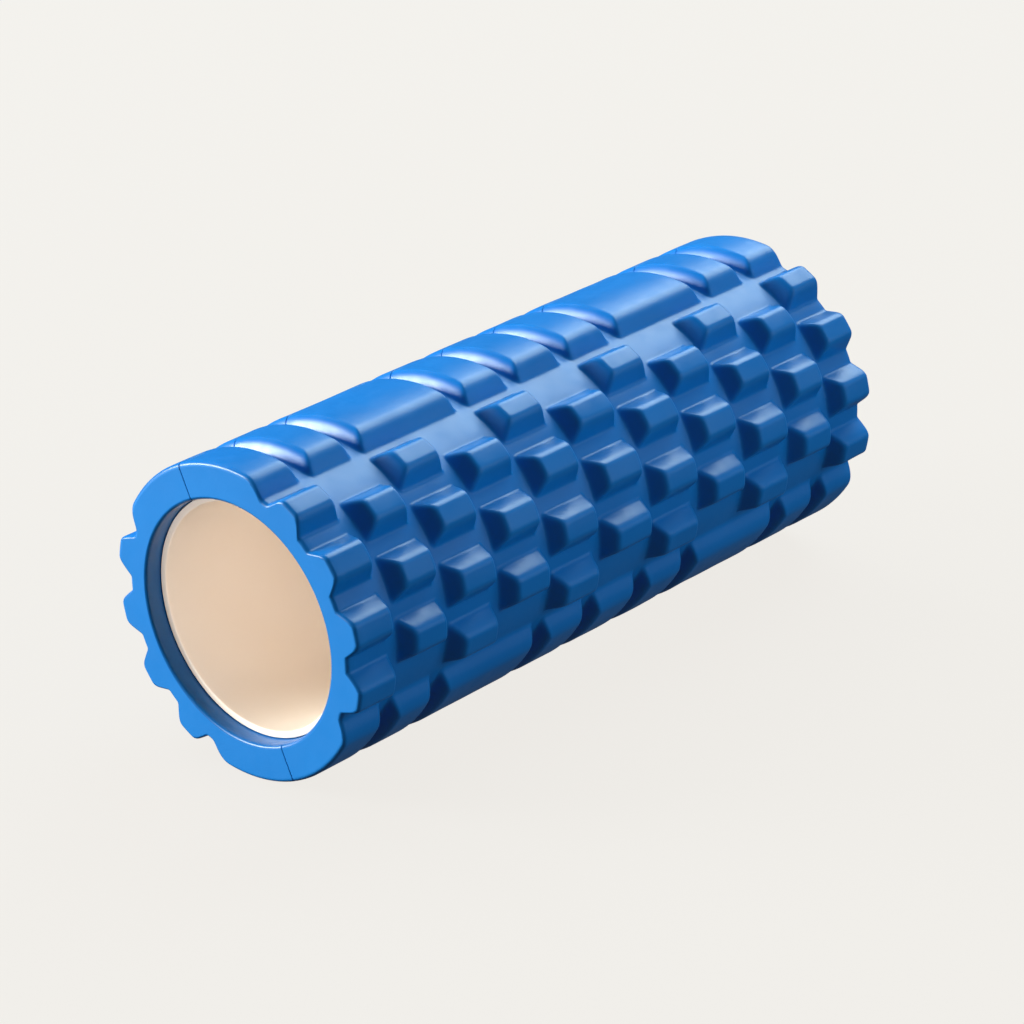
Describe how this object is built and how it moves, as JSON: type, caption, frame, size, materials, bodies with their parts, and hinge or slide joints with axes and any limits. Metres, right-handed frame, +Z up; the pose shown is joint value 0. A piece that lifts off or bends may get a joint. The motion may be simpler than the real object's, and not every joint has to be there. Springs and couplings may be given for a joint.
{
  "type": "foam roller",
  "caption": "Textured massage roller: a moulded foam sleeve with smooth bands and staggered blocks, glued round a hollow plastic tube.",
  "frame": {"origin": "middle of the roller, on its axis", "axes": "+X along the roller axis, +Z up as the roller lies on its side; the joints between the two half shells lie 26.6 degrees from the vertical, turned about X towards +Y at the top"},
  "size_m": [0.33, 0.139, 0.137],
  "materials": {
    "foam": "matte moulded closed-cell EVA foam",
    "core_plastic": "plain extruded plastic, satin",
    "adhesive": "cured contact adhesive"
  },
  "bodies": {
    "root": {"core_tube": "core_plastic", "foam_shell_front": "foam", "foam_shell_back": "foam", "core_bond_front": "adhesive", "core_bond_back": "adhesive", "seam_bond_top": "adhesive", "seam_bond_bottom": "adhesive"}
  },
  "joints": []
}
